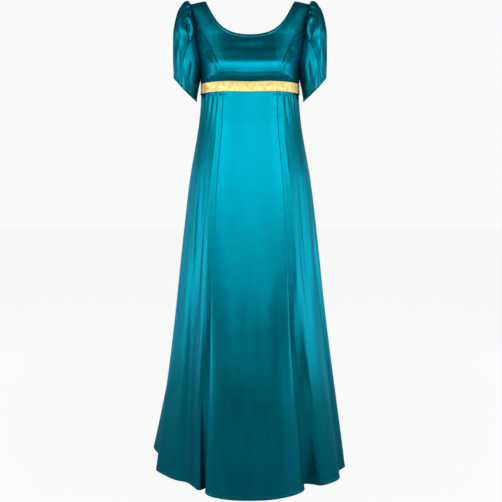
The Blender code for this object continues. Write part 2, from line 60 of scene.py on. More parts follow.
# A level section of the body of the gown: how far below the shoulder line, its half width, how far it
# reaches ahead and behind, and how square it is, where 2 is an ellipse.
Section = namedtuple("Section", "drop half_width front back squareness")
WAIST_SECTION = Section(WAIST_DROP, 0.1475, 0.121, 0.097, 2.30)
BODICE_SECTIONS = (
    WAIST_SECTION,
    Section(0.235, 0.1485, 0.130, 0.101, 2.35),
    Section(0.195, 0.1525, 0.130, 0.108, 2.40),
    Section(0.135, 0.1650, 0.120, 0.112, 2.35),
    Section(0.085, 0.1760, 0.104, 0.108, 2.30),
    Section(0.028, 0.1860, 0.062, 0.070, 2.30),
    Section(0.000, 0.1900, 0.000, 0.000, 2.30),
)
BUST_DEPTH = 0.020
BUST_TOP, BUST_FULLEST = 0.112, 0.198
BUST_STRAIGHT_TO, BUST_BOTTOM = 0.230, 0.2570
BUST_FILLS_OUT, BUST_ROUNDING = 1.3, 0.10
BUST_INNER, BUST_OUTER = 0.104, 0.150
BUST_MIDDLE_LESS = 0.15
BUST_MIDDLE_HALF_WIDTH = 0.035
WAIST_DIP = 0.003
DIP_HALF_WIDTH = 0.050
DIP_REACH = 0.060

# The neck edge is steered by its points' (out, drop), and the princess seam passes through its own.
FRONT_NECK = ((NECK_HALF_WIDTH, 0), (0.105, 0.060), (0.092, 0.1175), (0, 0.1175))
FRONT_NECK_AT_PRINCESS = 0.34
FRONT_NECK_AT_WAIST = 0.68
ARMHOLE_HALF_ANGLE = 19
PRINCESS_TURN = 82.4
PRINCESS_SEAM = (
    (0.0825, WAIST_DROP),
    (0.0867, 0.2465),
    (0.0962, 0.1960),
    (0.1205, 0.1446),
    (0.1387, 0.1155),
)

# Soft creases of the bodice, each from (x, drop) to (x, drop), with its half width and its height, which is
# below nothing for a trough. A crease wanders a little off its line, by this share of its half width, and
# fades in and out at these shares of its length.
Crease = namedtuple("Crease", "x drop to_x to_drop half_width height")
CREASE_WANDER, CREASE_WAVES = 0.18, 7
CREASE_FADES_IN, CREASE_FADES_OUT = (-0.1, 0.35), (0.6, 1.1)
CREASE_STEEPNESS = 2
BLOUSED_OVER_RIBBON = Crease(-0.50, 0.2450, 0.50, 0.2450, 0.014, 0.0022)
BODICE_FRONT_CREASES = (
    BLOUSED_OVER_RIBBON,
    Crease(-0.074, 0.137, 0.070, 0.141, 0.012, 0.0010),
    Crease(-0.040, 0.158, 0.085, 0.153, 0.012, -0.0010),
    Crease(-0.098, 0.172, -0.020, 0.166, 0.010, 0.0008),
    Crease(0.030, 0.174, 0.092, 0.167, 0.009, 0.0008),
    Crease(-0.160, 0.040, -0.128, 0.100, 0.009, -0.0007),
    Crease(0.158, 0.034, 0.126, 0.092, 0.008, -0.0006),
    Crease(-0.145, 0.062, -0.112, 0.128, 0.008, 0.0006),
    Crease(0.146, 0.070, 0.116, 0.132, 0.009, 0.0007),
)

# A seam's depth and half width. The puckers beside it are uneven in length and in height, and a turned edge
# ends in a soft step with a line of stitching.
BODICE_SEAM = (0.0015, 0.0022)
PUCKER, PUCKER_LENGTH, PUCKER_REACH = 0.0002, 0.019, 0.012
PUCKER_DRIFT, PUCKER_DRIFT_WAVES, PUCKER_SWELL_WAVES = 1.9, 41, 17
TURN_WIDTH, TURN_LIFT = 0.0085, 0.0005
TURN_STEP_FROM, TURN_STEP_TO = TURN_WIDTH - 0.002, TURN_WIDTH + 0.001
STITCH_DEPTH, STITCH_HALF_WIDTH = 0.0005, 0.0012

# How many columns of the front end on the strap and the armhole, on the princess seam and on half the waist.
FRONT_COLUMNS = (30, 44, 37)
FRONT_ROWS = 64
SHARP_EDGE = 55
INSIDE_BODICE = (0, 0, -0.16)

# The satin's colours, and the soft streaks of its sheen: how many to a metre across and along it, the values
# of their noise from the dullest to the brightest, and how far these go in shade and in roughness.
satin_front = (0.0, 0.150, 0.205)
satin_back = (0.001, 0.085, 0.110)
satin_glint = (0.02, 0.62, 0.75)
STREAKS = (34, 5, 1)
STREAK_VALUES = (0.3, 0.7)
STREAK_SHADES = (0.93, 1.06)
STREAK_ROUGHNESS = 0.03
# The strength and the height of the threads and of the faint crumple.
THREAD_RELIEF, CRUMPLE_RELIEF = (0.10, 0.0001), (0.10, 0.004)


def smooth(rows, at):
    """A table's other columns at these values of its first one, on a smooth curve through its rows."""
    rows, at = np.array(rows, float), np.asarray(at, float)
    keys, last = rows[:, 0], len(rows) - 1
    i = np.clip(np.searchsorted(keys, at) - 1, 0, last - 1)
    before, after = np.maximum(i - 1, 0), np.minimum(i + 2, last)
    span = keys[i + 1] - keys[i]
    t = np.clip((at - keys[i]) / span, 0, 1)[..., None]
    start, end = rows[i, 1:], rows[i + 1, 1:]
    start_slope = (end - rows[before, 1:]) * (span / (keys[i + 1] - keys[before]))[..., None]
    end_slope = (rows[after, 1:] - start) * (span / (keys[after] - keys[i]))[..., None]
    found = start * (1 + 2 * t) * (1 - t) ** 2 + start_slope * t * (1 - t) ** 2
    found += end * t * t * (3 - 2 * t) - end_slope * t * t * (1 - t)
    return np.moveaxis(found, -1, 0)


def ease(value, start, end):
    """From 0 at start to 1 at end, level at both."""
    t = np.clip((value - start) / (end - start), 0, 1)
    return t * t * (3 - 2 * t)


def bell(aside, steepness=1):
    """1 in the middle, falling softly to 0 on both sides."""
    return np.exp(-steepness * aside**2)


def curve(a, b, c, d, t):
    """A smooth curve from a to d, steered by b and c, at the shares t of it."""
    return a * (1 - t) ** 3 + b * 3 * t * (1 - t) ** 2 + c * 3 * t * t * (1 - t) + d * t**3


def rise_of(drop):
    """Height on the bodice, from 0 at the waist to 1 at the shoulder, where the cloth turns over level."""
    return 1 - np.sqrt(drop / WAIST_DROP)


BODICE_BY_RISE = [(rise_of(section.drop), *section[1:]) for section in BODICE_SECTIONS]


def ring_point(angle, half_width, front, back, squareness):
    """A point of a level section. The angle is 0 at the front and 90 at the wearer's left."""
    sideways, ahead = np.sin(np.radians(angle)), np.cos(np.radians(angle))
    x = half_width * np.sign(sideways) * np.abs(sideways) ** (2 / squareness)
    y = -np.where(ahead > 0, front, back) * np.sign(ahead) * np.abs(ahead) ** (2 / squareness)
    return x, y


def waist_dip(x, y, drop):
    dip = WAIST_DIP * bell(x / DIP_HALF_WIDTH) * bell((drop - WAIST_DROP) / DIP_REACH)
    return np.where(y > 0, 0, dip)


def bodice_point(angle, rise):
    drop = WAIST_DROP * (1 - rise) ** 2
    x, y = ring_point(angle, *smooth(BODICE_BY_RISE, rise))
    slope = ease(np.abs(x), NECK_HALF_WIDTH, SHOULDER_HALF_WIDTH) * (1 - ease(drop, 0, SLOPE_FADES))
    z = -drop - SHOULDER_SLOPE * slope - waist_dip(x, y, drop)
    filled = np.maximum((drop - BUST_TOP) / (BUST_FULLEST - BUST_TOP), 0) ** BUST_FILLS_OUT
    height = (filled + 1 - np.hypot(filled - 1, BUST_ROUNDING)) / 2
    height = height * (1 - ease(drop, BUST_STRAIGHT_TO, BUST_BOTTOM))
    across = 1 - ease(np.abs(x), BUST_INNER, BUST_OUTER)
    middle = 1 - BUST_MIDDLE_LESS * bell(x / BUST_MIDDLE_HALF_WIDTH)
    bust = np.where(y > 0, 0, BUST_DEPTH * height * across * middle)
    return np.stack([x, y - bust, z], axis=-1)


def armhole_seats(turn, way):
    """Seats on the armhole, whose turn is 0 at the shoulder and 180 under the arm: -1 is ahead, 1 behind."""
    drop = UNDERARM_DROP * (1 - np.cos(np.radians(turn))) / 2
    half_angle = ARMHOLE_HALF_ANGLE * np.sqrt(np.maximum(1 - (turn / 180) ** 4, 0))
    return np.stack([90 + way * half_angle, rise_of(drop)], axis=-1)


def bodice_seats(out, drop):
    """The seats, as angle and rise, that lie this far out and this far down on the front of the bodice."""
    half_width, _, _, squareness = smooth(BODICE_BY_RISE, rise_of(drop))
    angle = np.degrees(np.arcsin((out / half_width) ** (squareness / 2)))
    return np.stack([angle, rise_of(drop)], axis=-1)


def neck_seats(steering, shares):
    """Seats at these shares of a neck edge, one smooth arc from the shoulder to the centre front."""
    out, drop = curve(*np.array(steering, float), np.array(shares)[:, None]).T
    return bodice_seats(out, drop)


def princess_seats(shares):
    """Seats along the princess seam, at these shares of its height from the waist to the armhole."""
    end = armhole_seats(np.array(PRINCESS_TURN), -1)
    seam = [bodice_seats(np.array(out), np.array(drop))[::-1] for out, drop in PRINCESS_SEAM]
    rises = end[1] * np.array(shares)
    return np.stack([smooth([*seam, end[::-1]], rises)[0], rises], axis=-1)


def fine_at_ends(count, closeness=0.75):
    """Shares from 0 to 1 that lie closer together at both ends."""
    t = np.linspace(0, 1, count)
    return t - closeness * np.sin(2 * pi * t) / (2 * pi)


def between(start, end, shares):
    return np.asarray(start) + (np.asarray(end) - np.asarray(start)) * np.asarray(shares)[:, None]


def lengths(points, axis):
    """How far along the cloth each point lies from the first of its row or column."""
    steps = np.linalg.norm(np.diff(points, axis=axis), axis=2)
    start = np.zeros_like(np.take(steps, [0], axis=axis))
    return np.concatenate([start, np.cumsum(steps, axis=axis)], axis=axis)


def normals_of(points, inside, closed=False):
    """The directions out of the cloth, away from a point inside the gown."""
    if closed:
        across = np.roll(points, -1, axis=1) - np.roll(points, 1, axis=1)
    else:
        across = np.gradient(points, axis=1)
    normals = np.cross(across, np.gradient(points, axis=0))
    normals /= np.maximum(np.linalg.norm(normals, axis=2, keepdims=True), 1e-12)
    way = 1 if np.sum(normals * (points - np.array(inside))) > 0 else -1
    return normals * way, way


def creased(points, creases):
    """How far the creases of a bodice piece raise its cloth, from where each point lies across and down."""
    x, drop, raised = points[..., 0], -points[..., 2], 0
    for crease in creases:
        run = np.array([crease.to_x - crease.x, crease.to_drop - crease.drop])
        length = np.hypot(*run)
        along = ((x - crease.x) * run[0] + (drop - crease.drop) * run[1]) / length**2
        aside = ((x - crease.x) * run[1] - (drop - crease.drop) * run[0]) / length / crease.half_width
        aside = aside + CREASE_WANDER * np.sin(CREASE_WAVES * along)
        fades = ease(along, *CREASE_FADES_IN) * (1 - ease(along, *CREASE_FADES_OUT))
        raised = raised + crease.height * bell(aside, CREASE_STEEPNESS) * fades
    return raised


def sewn_edge(away, along, turned, seam_depth, seam_half_width):
    """The relief beside an edge: a sunk seam that puckers a little or, where turned, a pressed turning."""
    uneven = np.sin(2 * pi * along / PUCKER_LENGTH + PUCKER_DRIFT * np.sin(PUCKER_DRIFT_WAVES * along))
    uneven = uneven * np.sin(PUCKER_SWELL_WAVES * along + 1)
    seam = PUCKER * uneven * bell(away / PUCKER_REACH) - seam_depth * bell(away / seam_half_width)
    turning = TURN_LIFT * (1 - ease(away, TURN_STEP_FROM, TURN_STEP_TO))
    turning = turning - STITCH_DEPTH * bell((away - TURN_WIDTH) / STITCH_HALF_WIDTH)
    return seam * (1 - turned) + turning * turned


def finished(points, normals, raised, low, high, first, last, seam=BODICE_SEAM):
    """The cloth with its creases and the relief of its edges, each 1 where turned and 0 where sewn."""
    across, down = lengths(points, 1), lengths(points, 0)
    edges = (
        (low, down, across),
        (high, down[-1:] - down, across),
        (first, across, down),
        (last, across[:, -1:] - across, down),
    )
    for turned, away, along in edges:
        raised = raised + sewn_edge(away, along, turned, *seam)
    return points + normals * raised[..., None]


def cloth_piece(name, points, inside, face, lining, thickness=SATIN, closed=False):
    """A thin closed shell of cloth on these points, with its own lengths as its UV map."""
    normals, way = normals_of(points, inside, closed)
    rows, columns = points.shape[:2]
    count = rows * columns
    corners = np.concatenate([points + normals * thickness / 2, points - normals * thickness / 2])
    index = np.arange(count).reshape(rows, columns)
    if closed:
        index = np.concatenate([index, index[:, :1]], axis=1)
        rims = [index[0], index[-1, ::-1]]
    else:
        rims = [np.concatenate([index[0], index[1:, -1], index[-1, -2::-1], index[-2::-1, 0]])]
    quads = np.stack([index[:-1, :-1], index[:-1, 1:], index[1:, 1:], index[1:, :-1]], axis=-1)
    quads = quads.reshape(-1, 4)
    faces = [quads, quads[:, ::-1] + count]
    for rim in rims:
        faces.append(np.stack([rim[1:], rim[:-1], rim[:-1] + count, rim[1:] + count], axis=-1))
    faces = np.concatenate(faces)[:, ::way]
    mesh = bpy.data.meshes.new(name)
    mesh.from_pydata(corners.reshape(-1, 3).tolist(), [], faces.tolist())
    mesh.materials.append(face)
    mesh.materials.append(lining)
    slots = np.zeros(len(faces), np.int32)
    slots[len(quads) : 2 * len(quads)] = 1
    mesh.polygons.foreach_set("material_index", slots)
    across, down = lengths(points, 1), lengths(points, 0)
    flat = np.stack([across - across[:, columns // 2, None], down], axis=-1).reshape(-1, 2)
    flat = np.concatenate([flat, flat])
    mesh.uv_layers.new(name="cloth").data.foreach_set("uv", flat[faces.reshape(-1)].reshape(-1))
    mesh.shade_smooth()
    mesh.set_sharp_from_angle(angle=radians(SHARP_EDGE))
    piece = bpy.data.objects.new(name, mesh)
    bpy.context.collection.objects.link(piece)
    return piece


def sew_on(piece, node):
    """The piece takes its solid's place on the gown."""
    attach(piece, "root")
    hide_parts(node)


def texture(nodes, links, kind, place, **values):
    """A pattern laid on the cloth in its own metres, with these values on its sockets."""
    pattern = nodes.new(kind)
    for socket, value in values.items():
        pattern.inputs[socket].default_value = value
    links.new(place, pattern.inputs["Vector"])
    return pattern


def relief(nodes, links, height, strength, distance):
    """A bump that follows a pattern."""
    bump = nodes.new("ShaderNodeBump")
    bump.inputs["Strength"].default_value = strength
    bump.inputs["Distance"].default_value = distance
    links.new(height, bump.inputs["Height"])
    return bump


def shaded(nodes, links, pattern, low, high):
    """The pattern in colour, between a value with its colour and a higher value with its own."""
    ramp = nodes.new("ShaderNodeValToRGB")
    for element, (value, colour) in zip(ramp.color_ramp.elements, (low, high)):
        element.position = value
        element.color = (*colour, 1)
    links.new(pattern, ramp.inputs["Fac"])
    return ramp.outputs["Color"]


def cloth_material(name):
    """A material, its nodes, links and shader, and the cloth's own metres."""
    material = bpy.data.materials.new(name)
    material.use_nodes = True
    nodes, links = material.node_tree.nodes, material.node_tree.links
    place = nodes.new("ShaderNodeUVMap")
    place.uv_map = "cloth"
    return material, nodes, links, nodes["Principled BSDF"], place.outputs["UV"]


def satin(name, colour, roughness, metallic):
    """Satin: fine threads, a soft uneven sheen along the length, and a faint crumple."""
    material, nodes, links, shader, place = cloth_material(name)
    shader.inputs["Metallic"].default_value = metallic
    shader.inputs["Anisotropic"].default_value = 0.35
    shader.inputs["Specular IOR Level"].default_value = 0.25
    shader.inputs["Specular Tint"].default_value = (*satin_glint, 1)
    tangent = nodes.new("ShaderNodeTangent")
    tangent.direction_type = "UV_MAP"
    tangent.uv_map = "cloth"
    links.new(tangent.outputs["Tangent"], shader.inputs["Tangent"])

    streaks_at = nodes.new("ShaderNodeMapping")
    streaks_at.inputs["Scale"].default_value = STREAKS
    links.new(place, streaks_at.inputs["Vector"])
    streaks = texture(nodes, links, "ShaderNodeTexNoise", streaks_at.outputs["Vector"], Scale=1, Detail=3)
    dull, bright = ([share * c for c in colour] for share in STREAK_SHADES)
    faintest, strongest = STREAK_VALUES
    colours = shaded(nodes, links, streaks.outputs["Fac"], (faintest, dull), (strongest, bright))
    links.new(colours, shader.inputs["Base Color"])

    gloss = nodes.new("ShaderNodeMapRange")
    gloss.inputs["From Min"].default_value = faintest
    gloss.inputs["From Max"].default_value = strongest
    gloss.inputs["To Min"].default_value = roughness - STREAK_ROUGHNESS
    gloss.inputs["To Max"].default_value = roughness + STREAK_ROUGHNESS
    links.new(streaks.outputs["Fac"], gloss.inputs["Value"])
    links.new(gloss.outputs["Result"], shader.inputs["Roughness"])

    threads = texture(nodes, links, "ShaderNodeTexWave", place, Scale=560, Distortion=0.6, Detail=1)
    weave = relief(nodes, links, threads.outputs["Fac"], *THREAD_RELIEF)
    crumple = texture(nodes, links, "ShaderNodeTexNoise", place, Scale=26, Detail=2)
    soft = relief(nodes, links, crumple.outputs["Fac"], *CRUMPLE_RELIEF)
    links.new(weave.outputs["Normal"], soft.inputs["Normal"])
    links.new(soft.outputs["Normal"], shader.inputs["Normal"])
    return material


teal_satin = satin("teal_satin", satin_front, roughness=0.36, metallic=0.88)
satin_wrong_side = satin("teal_satin_wrong_side", satin_back, roughness=0.60, metallic=0.20)

to_strap, to_seam, to_waist = FRONT_COLUMNS
inner = neck_seats(
    FRONT_NECK,
    [
        *np.linspace(0, FRONT_NECK_AT_PRINCESS, to_strap, endpoint=False),
        *np.linspace(FRONT_NECK_AT_PRINCESS, FRONT_NECK_AT_WAIST, to_seam, endpoint=False),
        *np.linspace(FRONT_NECK_AT_WAIST, 1, to_waist),
    ],
)
outer = np.concatenate(
    [
        armhole_seats(np.linspace(0, PRINCESS_TURN, to_strap, endpoint=False), -1),
        princess_seats(np.linspace(1, 0, to_seam, endpoint=False)),
        between(princess_seats([0])[0], (0, 0), np.linspace(0, 1, to_waist)),
    ]
)
outer = np.concatenate([outer * (-1, 1), outer[-2::-1]])
inner = np.concatenate([inner * (-1, 1), inner[-2::-1]])
shares = fine_at_ends(FRONT_ROWS)[:, None, None]
seats = outer * (1 - shares) + inner * shares
front = bodice_point(seats[..., 0], seats[..., 1])
normals, _ = normals_of(front, INSIDE_BODICE)
front = finished(front, normals, creased(front, BODICE_FRONT_CREASES), low=0, high=1, first=0, last=0)
bodice_front = cloth_piece("satin_bodice_front", front, INSIDE_BODICE, teal_satin, satin_wrong_side)
sew_on(bodice_front, "bodice_front")


# Each side front is cut from the same satin. It fills the space between the princess seam, the armhole and
# the side seam, and its armhole edge is sewn to the sleeve.

SIDE_FRONT_CREASES = (
    Crease(0.100, 0.150, 0.146, 0.170, 0.008, -0.0010),
    Crease(0.104, 0.190, 0.148, 0.182, 0.009, 0.0012),
    Crease(0.088, 0.206, 0.130, 0.200, 0.009, 0.0010),
    BLOUSED_OVER_RIBBON,
    Crease(0.096, 0.250, 0.122, 0.236, 0.005, -0.0012),
)
UNDERARM_SEAT = armhole_seats(np.array(180.0), -1)
SIDE_FRONT_ROWS, SIDE_FRONT_COLUMNS = 60, 56


def patch(bottom, top, first, last, shares):
    """Rows of seats inside four edges that share their corners."""
    low_share, high_share = (first[:, 1] / first[-1, 1])[:, None], (last[:, 1] / last[-1, 1])[:, None]
    low_bow = first[:, :1] - (first[0, 0] + (first[-1, 0] - first[0, 0]) * low_share)
    high_bow = last[:, :1] - (last[0, 0] + (last[-1, 0] - last[0, 0]) * high_share)
    rise = (low_share * (1 - shares) + high_share * shares)[..., None]
    bow = (low_bow * (1 - shares) + high_bow * shares)[..., None] * (1, 0)
    return bottom + (top - bottom) * rise + bow


def mirrored(points):
    """The piece's mirror image, on the wearer's right."""
    return points[:, ::-1] * (-1, 1, 1)


up_the_seam = fine_at_ends(SIDE_FRONT_ROWS)
first = princess_seats(up_the_seam)
last = np.stack([np.full(SIDE_FRONT_ROWS, 90.0), UNDERARM_SEAT[1] * up_the_seam], axis=-1)
across_shares = fine_at_ends(SIDE_FRONT_COLUMNS)
bottom = between(first[0], last[0], across_shares)
top = armhole_seats(PRINCESS_TURN + (180 - PRINCESS_TURN) * across_shares, -1)
seats = patch(bottom, top, first, last, across_shares)
side_front = bodice_point(seats[..., 0], seats[..., 1])
normals, _ = normals_of(side_front, INSIDE_BODICE)
raised = creased(side_front, SIDE_FRONT_CREASES)
side_front = finished(side_front, normals, raised, low=0, high=0, first=0, last=0)
for side, points in (("left", side_front), ("right", mirrored(side_front))):
    name = f"satin_bodice_side_front_{side}"
    piece = cloth_piece(name, points, INSIDE_BODICE, teal_satin, satin_wrong_side)
    sew_on(piece, f"bodice_side_front_{side}")


# The back of the bodice is two pieces of satin with a shoulder strap each, closed at the centre back seam.
# The photograph shows none of it, so it is finished plainly, with a few soft creases.

BACK_NECK = ((NECK_HALF_WIDTH, 0), (0.118, 0.048), (0.098, 0.088), (0, 0.088))
ARMHOLE_AT_BACK_NECK = 80
ARMHOLE_AT_BACK_WAIST = 140
BACK_CREASES = {
    "left": (
        BLOUSED_OVER_RIBBON,
        Crease(0.020, 0.150, 0.110, 0.128, 0.011, 0.0012),
        Crease(0.016, 0.190, 0.140, 0.205, 0.012, -0.0013),
        Crease(0.120, 0.060, 0.100, 0.130, 0.009, 0.0010),
        Crease(0.030, 0.236, 0.130, 0.228, 0.008, 0.0012),
    ),
    "right": (
        BLOUSED_OVER_RIBBON,
        Crease(-0.014, 0.165, -0.120, 0.140, 0.012, 0.0013),
        Crease(-0.025, 0.205, -0.130, 0.190, 0.010, -0.0011),
        Crease(-0.128, 0.055, -0.108, 0.120, 0.008, 0.0011),
        Crease(-0.018, 0.245, -0.110, 0.240, 0.008, 0.0010),
    ),
}

# How many columns of a back end on its neck edge, on the centre back seam and on the waist.
BACK_COLUMNS = (50, 34, 52)
BACK_ROWS = 60

to_neck, to_seam, to_waist = BACK_COLUMNS
turns = np.concatenate(
    [
        np.linspace(0, ARMHOLE_AT_BACK_NECK, to_neck, endpoint=False),
        np.linspace(ARMHOLE_AT_BACK_NECK, ARMHOLE_AT_BACK_WAIST, to_seam, endpoint=False),
        np.linspace(ARMHOLE_AT_BACK_WAIST, 180, to_waist),
    ]
)
neck = neck_seats(BACK_NECK, np.linspace(0, 1, to_neck + 1)) * (-1, 1) + (180, 0)
outer = np.concatenate(
    [
        neck[:-1],
        between(neck[-1], (180, 0), np.linspace(0, 1, to_seam, endpoint=False)),
        between((180, 0), (90, 0), np.linspace(0, 1, to_waist)),
    ]
)
inner = armhole_seats(turns, 1)
shares = fine_at_ends(BACK_ROWS)[:, None, None]
seats = outer * (1 - shares) + inner * shares
back = bodice_point(seats[..., 0], seats[..., 1])
turned_at_neck = np.where(np.arange(len(turns)) < to_neck, 1.0, 0.0)
for side, points in (("left", back), ("right", mirrored(back))):
    turned = turned_at_neck if side == "left" else turned_at_neck[::-1]
    normals, _ = normals_of(points, INSIDE_BODICE)
    raised = creased(points, BACK_CREASES[side])
    points = finished(points, normals, raised, low=turned, high=0, first=0, last=0)
    name = f"satin_bodice_back_{side}"
    piece = cloth_piece(name, points, INSIDE_BODICE, teal_satin, satin_wrong_side)
    sew_on(piece, f"bodice_back_{side}")


# The skirt is five gores of satin sewn edge to edge: the front, two side fronts and two backs. The sides
# and backs are gathered a little under the ribbon, and the hem is turned up narrowly and stitched.

SKIRT_SECTIONS = (
    WAIST_SECTION,
    Section(0.330, 0.1512, 0.125, 0.104, 2.30),
    Section(0.395, 0.1590, 0.131, 0.120, 2.25),
    Section(0.543, 0.1850, 0.153, 0.165, 2.20),
    Section(0.766, 0.2120, 0.190, 0.225, 2.10),
    Section(0.989, 0.2380, 0.232, 0.290, 2.00),
    Section(1.212, 0.2650, 0.272, 0.350, 2.00),
    Section(GOWN_LENGTH, 0.2900, 0.295, 0.410, 2.00),
)

# The hem, fold by fold: the seat on the waist that a fold hangs from, how far to the left and ahead its
# crest or valley lies, and the share of the skirt's fall over which the fold has not begun.
Fold = namedtuple("Fold", "seat left ahead begins")
HEM_FOLDS = (
    Fold(-180, 0.000, -0.450, 0.30),
    Fold(-168, -0.075, -0.460, 0.34),
    Fold(-156, -0.140, -0.400, 0.22),
    Fold(-143, -0.215, -0.430, 0.36),
    Fold(-130, -0.262, -0.345, 0.25),
    Fold(-118, -0.329, -0.320, 0.40),
    Fold(-102, -0.296, -0.180, 0.30),
    Fold(-90, -0.266, -0.130, 0.26),
    Fold(-78, -0.268, -0.070, 0.22),
    Fold(-70, -0.290, -0.010, 0.24),
    Fold(-60, -0.236, 0.090, 0.20),
    Fold(-48, -0.184, 0.140, 0.14),
    Fold(-38, -0.148, 0.204, 0.40),
    Fold(-33, -0.131, 0.190, 0.48),
    Fold(-30, -0.121, 0.201, 0.50),
    Fold(-28.5, -0.129, 0.226, 0.50),
    Fold(-26.5, -0.121, 0.256, 0.47),
    Fold(-21, -0.098, 0.281, 0.42),
    Fold(-12, -0.058, 0.302, 0.30),
    Fold(0, -0.003, 0.309, 0.30),
    Fold(12, 0.062, 0.300, 0.30),
    Fold(21, 0.112, 0.270, 0.42),
    Fold(26.5, 0.146, 0.232, 0.47),
    Fold(28.5, 0.159, 0.196, 0.50),
    Fold(30, 0.154, 0.158, 0.50),
    Fold(33, 0.167, 0.143, 0.48),
    Fold(43, 0.214, 0.156, 0.36),
    Fold(53, 0.250, 0.124, 0.16),
    Fold(61, 0.277, 0.072, 0.20),
    Fold(68, 0.266, 0.015, 0.30),
    Fold(77, 0.299, -0.045, 0.44),
    Fold(84, 0.294, -0.100, 0.30),
    Fold(90, 0.278, -0.130, 0.26),
    Fold(105, 0.300, -0.235, 0.34),
    Fold(117, 0.250, -0.300, 0.22),
    Fold(130, 0.235, -0.390, 0.36),
    Fold(143, 0.170, -0.385, 0.24),
    Fold(156, 0.120, -0.455, 0.34),
    Fold(168, 0.060, -0.425, 0.26),
    Fold(180, 0.000, -0.450, 0.30),
)

# The gathers under the ribbon: the seat of each on the waist, how far it leans by its foot, its depth, its
# half width and how far down it fades.
Gather = namedtuple("Gather", "seat leans depth half_angle fade")
WAIST_GATHERS = (
    Gather(-26, -0.5, 0.0008, 1.8, 0.022),
    Gather(-33, -1.0, 0.0018, 2.4, 0.050),
    Gather(-39, -1.5, 0.0032, 2.8, 0.105),
    Gather(-44, -1.0, 0.0016, 1.8, 0.045),
    Gather(-48, -2.0, 0.0035, 3.0, 0.125),
    Gather(-57, -1.5, 0.0032, 3.0, 0.090),
    Gather(-63, -1.0, 0.0016, 2.2, 0.050),
    Gather(-69, -2.0, 0.0034, 3.2, 0.110),
    Gather(-81, -1.0, 0.0028, 3.0, 0.080),
    Gather(24, 0.5, 0.0008, 1.6, 0.020),
    Gather(33, 1.0, 0.0018, 2.4, 0.046),
    Gather(42, 2.0, 0.0034, 3.0, 0.115),
    Gather(48, 1.0, 0.0015, 2.0, 0.040),
    Gather(54, 1.5, 0.0032, 2.8, 0.090),
    Gather(63, 2.0, 0.0034, 3.2, 0.120),
    Gather(75, 1.0, 0.0030, 3.0, 0.080),
    Gather(-102, -1.0, 0.0034, 3.2, 0.100),
    Gather(-108, -0.5, 0.0018, 2.0, 0.050),
    Gather(-114, -1.5, 0.0036, 3.0, 0.125),
    Gather(-126, -0.5, 0.0034, 3.0, 0.090),
    Gather(-132, 0.5, 0.0018, 2.2, 0.045),
    Gather(-138, 0.5, 0.0036, 3.2, 0.120),
    Gather(-150, 1.0, 0.0034, 3.0, 0.100),
    Gather(-162, 0.5, 0.0034, 3.0, 0.115),
    Gather(-170, 0.5, 0.0018, 2.2, 0.050),
    Gather(102, 1.0, 0.0034, 3.2, 0.110),
    Gather(114, 1.5, 0.0036, 3.0, 0.095),
    Gather(120, 0.5, 0.0018, 2.2, 0.050),
    Gather(126, 0.5, 0.0034, 3.0, 0.120),
    Gather(138, -0.5, 0.0036, 3.2, 0.105),
    Gather(144, -0.5, 0.0016, 2.0, 0.045),
    Gather(150, -1.0, 0.0034, 3.0, 0.120),
    Gather(162, -0.5, 0.0034, 3.0, 0.090),
)
RIBBON_WIDTH = 0.0285
GATHER_STARTS = WAIST_DROP + RIBBON_WIDTH / 2 + 0.0005
GATHER_BEGUN = GATHER_STARTS - 0.006
GATHER_FULL = GATHER_STARTS + 0.014

